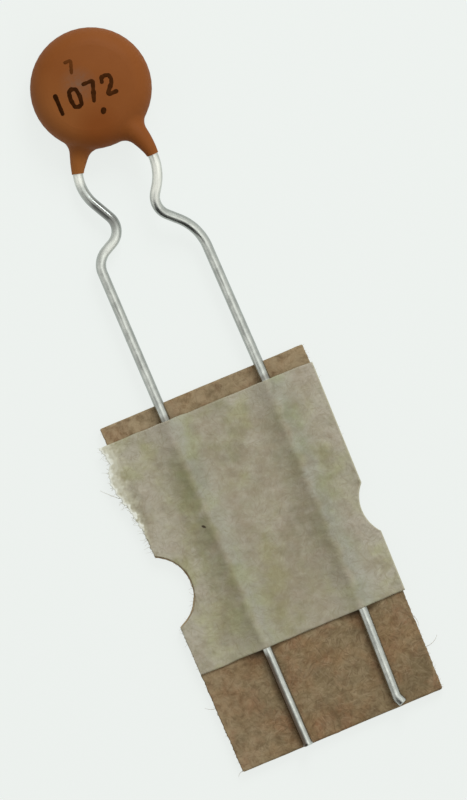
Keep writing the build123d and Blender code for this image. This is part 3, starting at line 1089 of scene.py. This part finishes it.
def tape_marks(card, tape, x, y, offset):
    """Where the tape is free of the card, painted shade beside a lead, painted cool light on the slope right
    of it, faded with painted light on the slopes, or browned.

    Marks are shares of the full effect. The two ends of a ramp are places in millimetres.
    """
    past = np.maximum(card_left(card, y) - x, x - card_right(card, y)) / mm
    from_edge = (x - x[:, :1]) / mm
    tear_foot = tape.tear_foot / mm
    x, y, offset = x / mm, y / mm, offset / mm
    left_half = x < 0
    uneven = wave_noise(0.55, 73, x, y) + 0.5 * wave_noise(0.2, 75, x, y)
    thinned = 0.36 + 0.27 * ramp(y, 6.1, 6.9)
    past_card = ramp(past + 0.12 * uneven + thinned, 0, 0.6)
    fringe = ramp(from_edge - 0.05 * uneven, 0.26, 0)
    above_foot = ramp(y, tear_foot, tear_foot + 1.2)
    right_strip = ramp(past, 0, 0.12)
    free = np.where(left_half, (0.6 * past_card + 0.5 * fringe) * above_foot, 0.5 * right_strip)

    patchy = 0.4 * wave_noise(1.9, 76, x, y) + 0.22 * wave_noise(0.6, 78, x, y)
    patchy = np.clip(0.75 + patchy, 0, 1)
    crest = offset + 0.06 * wave_noise(1.1, 74, x * 0.4, y)
    dark_side = ramp(crest, 0.225, -0.075)
    # The lit slope right of each lead, which takes painted light
    bright_side = ramp(crest, -0.14, 0.26) * ramp(offset, 1.5, 0.3)
    # Painted shade on the left slope of each lead, stronger on the left lead
    gap_shade_head = np.where(left_half, 6.9, 7.3)
    between_ends = ramp(y - gap_shade_head, 0, -2.4) * ramp(y, -5.6, -1.6)
    beside_lead = np.clip((offset + 1.4) / 1.2, 0, 1)
    hollow = np.where(left_half, 0.56, 0.34) * between_ends * patchy * dark_side * beside_lead

    outer_strips = ramp(np.abs(x), 3.3, 5)
    head_strip = ramp(y, 6.2, 7.6)
    pale_patch = spot(x - 4.3, y + 2.5, 1.6)
    # Painted light on the slopes: the shaded slopes are made paler near their ends, and the lit slope right
    # of the left lead is made paler too
    fill_on_shaded_slope_ends = ramp(y, -1, -3.5) + 1.6 * ramp(y, 5.6, 7.2)
    fill_on_shaded_slope_ends = fill_on_shaded_slope_ends * dark_side * ramp(np.abs(offset), 1.6, 0.8)
    faded = (0.9 * outer_strips + 0.4 * head_strip + 0.9 * pale_patch) * patchy
    faded = faded + 0.65 * fill_on_shaded_slope_ends + np.where(left_half, 0.4, 0) * bright_side
    fields = {
        "free": free,
        # Painted shade over the gap beside each lead
        "hollow": hollow,
        # Painted cool light on the slope right of each lead
        "on_wire": np.where(left_half, 0.65, 0.8) * bright_side,
        "faded": np.clip(faded, 0, 1),
        "browned": 0.55 * spot(x, y + 1.9, 1.8),
    }
    return {name: both_sides(field) for name, field in fields.items()}


class CAPACITOR_OT_pull_fibres(bpy.types.Operator):
    """Pulls loose fibres out of the torn tape and the cut edges of the card"""

    bl_idname = "capacitor.pull_fibres"
    bl_label = "Pull fibres"

    def execute(self, context):
        card, tape = context.scene.capacitor.card, context.scene.capacitor.tape
        draw = np.random.default_rng(91)
        lowest_tape_root = tape.tear_foot * 0.9
        head_crowding = 1.2
        tape_root_level = card_level + 0.06 * mm
        card_root_inset = 0.03 * mm

        count = 130
        y = tape.head - (tape.head - lowest_tape_root) * draw.uniform(0, 1, count) ** head_crowding
        x = card_left(card, y) - tear_reach(tape, y) + draw.uniform(0.02, 0.16, count) * mm
        roots = np.stack([x, y, np.full(count, tape_root_level)], axis=1)
        material = loose_fibre("paper_fibre", tape.bare_paper, tape.pale_paper)
        add_fibres("tape_fibres", roots, np.pi, material, draw)

        count = 220
        y = draw.uniform(-card.tail, card.head, count)
        right = draw.uniform(0, 1, count) < 0.5
        x = np.where(right, card_right(card, y) - card_root_inset, card_left(card, y) + card_root_inset)
        roots = np.stack([x, y, draw.uniform(0.15, 0.95, count) * card_level], axis=1)
        material = loose_fibre("card_fibre", card.kraft, card.pale_fibre)
        add_fibres("card_fibres", roots, np.where(right, 0, np.pi), material, draw)
        return {"FINISHED"}


def add_fibres(name, roots, facing, material, draw):
    """Curved hairs from roots: each turns evenly as it goes out and thins from its root to its tip.

    The first of them are the long strays of their kind.
    """
    kind = fibre_kinds[name]
    count, rows, sides = len(roots), 8, 4
    straight_reach = 0.3 * mm
    tip_thinning = 0.6
    heading = facing + draw.normal(0, kind["heading_spread"], count)
    reach = np.minimum(draw.lognormal(kind["log_length"], kind["log_spread"], count), kind["longest"]) * mm
    radius = np.full(count, kind["radius"] * mm)
    stray = np.array(kind["strays"])
    first = slice(len(stray))
    roots[first, :2] = stray[:, :2] * mm
    heading[first] = np.radians(stray[:, 2])
    reach[first] = stray[:, 3] * mm
    radius[first] = kind["stray_radius"] * mm
    share_out = np.linspace(0, 1, rows)
    curl = draw.normal(0, 1.0, count) * np.minimum(1, straight_reach / reach)
    turn = heading[:, None] + curl[:, None] * share_out
    rise = np.zeros((count, rows)) + draw.uniform(-0.12, 0.25, count)[:, None]
    tangent = unit(np.stack([np.cos(turn), np.sin(turn), rise], axis=-1))
    step = tangent * (reach / (rows - 1))[:, None, None]
    route = roots[:, None] + np.cumsum(step, axis=1) - step[:, :1]
    route[..., 2] = np.maximum(route[..., 2], radius[:, None] * 2)
    side = unit(np.cross(tangent, (0, 0, 1)))
    lift = np.cross(side, tangent)
    half = (radius[:, None] * (1 - tip_thinning * share_out)).ravel()
    route, side, lift = [each.reshape(-1, 3) for each in (route, side, lift)]
    skins = carried_ellipse(route, side, lift, half, half, sides).reshape(count, rows, sides, 3)
    tip = np.zeros((count * rows, sides)) + np.tile(share_out, count)[:, None]
    add_piece(name, skins, material, marks={"tip": tip})


class CAPACITOR_OT_set_stage(bpy.types.Operator):
    """Sets the pale floor, the soft light and the camera above the part"""

    bl_idname = "capacitor.set_stage"
    bl_label = "Set stage"

    def execute(self, context):
        scene = context.scene
        stage = scene.capacitor.stage
        lay_floor(scene, stage)
        light_world(scene, stage)
        place_key(scene, stage)
        place_camera(scene, stage)
        scene.view_settings.view_transform = "Standard"
        return {"FINISHED"}


def lay_floor(scene, stage):
    """Flat floor a hair below the part."""
    drop = (0, 0, 0.002 * mm)
    corners = np.array([(-1, -1, 0), (1, -1, 0), (1, 1, 0), (-1, 1, 0)]) * stage.floor_reach
    mesh = bpy.data.meshes.new("floor")
    mesh.from_pydata((corners - drop).tolist(), [], [(0, 1, 2, 3)])
    mesh.materials.append(pale_floor(stage))
    floor = bpy.data.objects.new("floor", mesh)
    scene.collection.objects.link(floor)


def light_world(scene, stage):
    """Soft light from all round, darker low down on one side, with one dim and two bright patches."""
    world = bpy.data.worlds.new("studio")
    scene.world = world
    world.use_nodes = True
    nodes = Nodes(world.node_tree)
    away = nodes.add("TexCoord", output="Generated")

    def towards(direction):
        return nodes.add("VectorMath", {0: away, 1: direction}, "Value", operation="DOT_PRODUCT")

    behind_disc = (-0.25, 0.91, 0.33)
    before_card = (0.27, -0.51, 0.82)
    overhead = (0.2, 0.0, 0.98)
    ahead = towards((-0.788, -0.616, 0.0))
    aside = towards((0.616, -0.788, 0.0))
    shade = nodes.maths("MULTIPLY", nodes.remap(aside, -0.3, -0.12), nodes.remap(aside, 0.65, 0.45))
    shade = nodes.maths("MULTIPLY", shade, nodes.remap(ahead, 0.12, 0.38))
    strength = nodes.remap(shade, 0.0, 1.0, stage.ambient, stage.ambient * 0.04)
    for direction, rim, core, change in (
        (behind_disc, 0.8, 0.95, 0.5),
        (before_card, 0.8, 0.97, 1.5),
        (overhead, 0.85, 0.97, 1.25),
    ):
        patch = nodes.remap(towards(direction), rim, core, 1.0, change)
        strength = nodes.maths("MULTIPLY", strength, patch)
    warm_white = (1.0, 0.985, 0.95, 1.0)
    nodes.feed(world.node_tree.nodes["Background"], {"Color": warm_white, "Strength": strength})


def place_key(scene, stage):
    """One softbox to the upper right of the part."""
    direction = np.array((0.450, 0.608, 0.654))
    lamp = bpy.data.lights.new("softbox", "AREA")
    lamp.energy = stage.key_power
    lamp.color = (0.94, 0.98, 1.0)
    lamp.size = stage.key_size
    key = bpy.data.objects.new("softbox", lamp)
    scene.collection.objects.link(key)
    middle = (cad_bounds[0] + cad_bounds[1]) / 2
    key.location = np.array(middle) + unit(direction) * stage.key_distance
    key.rotation_euler = (key.location - middle).to_track_quat("Z", "Y").to_euler()


def place_camera(scene, stage):
    """Camera straight above, turned as in the photograph, with a long lens."""
    view_middle = (0.891 * mm, 7.331 * mm)
    data = bpy.data.cameras.new("camera")
    data.lens = data.sensor_width * stage.camera_height / stage.view_height
    camera = bpy.data.objects.new("camera", data)
    scene.collection.objects.link(camera)
    camera.location = (*view_middle, stage.camera_height + card_level)
    camera.rotation_euler = (0, 0, stage.view_turn)
    scene.camera = camera


class CAPACITOR_PT_panel(bpy.types.Panel):
    """Steps and settings of the capacitor."""

    bl_idname = "CAPACITOR_PT_panel"
    bl_label = "Capacitor"
    bl_space_type = "VIEW_3D"
    bl_region_type = "UI"
    bl_category = "Capacitor"

    def draw(self, context):
        settings = context.scene.capacitor
        for operator in operators:
            self.layout.operator(operator.bl_idname)
        for group in CapacitorSettings.__annotations__:
            box = self.layout.box()
            box.label(text=group.capitalize())
            chosen = getattr(settings, group)
            for name in type(chosen).__annotations__:
                box.prop(chosen, name, text=name.replace("_", " ").capitalize())


setting_groups = (
    CoatingSettings,
    MarkSettings,
    LeadSettings,
    CardSettings,
    TapeSettings,
    StageSettings,
    CapacitorSettings,
)
operators = (
    CAPACITOR_OT_dress_coating,
    CAPACITOR_OT_dress_inside,
    CAPACITOR_OT_print_marks,
    CAPACITOR_OT_form_leads,
    CAPACITOR_OT_cut_card,
    CAPACITOR_OT_lay_tape,
    CAPACITOR_OT_pull_fibres,
    CAPACITOR_OT_set_stage,
)
classes = (*setting_groups, *operators, CAPACITOR_PT_panel)


def register():
    for each in classes:
        bpy.utils.register_class(each)
    bpy.types.Scene.capacitor = PointerProperty(type=CapacitorSettings)


def unregister():
    del bpy.types.Scene.capacitor
    for each in reversed(classes):
        bpy.utils.unregister_class(each)


def main():
    """Builds everything in order."""
    register()
    bpy.ops.capacitor.dress_coating()
    bpy.ops.capacitor.dress_inside()
    bpy.ops.capacitor.print_marks()
    bpy.ops.capacitor.form_leads()
    bpy.ops.capacitor.cut_card()
    bpy.ops.capacitor.lay_tape()
    bpy.ops.capacitor.pull_fibres()
    bpy.ops.capacitor.set_stage()


if __name__ == "__main__":
    main()
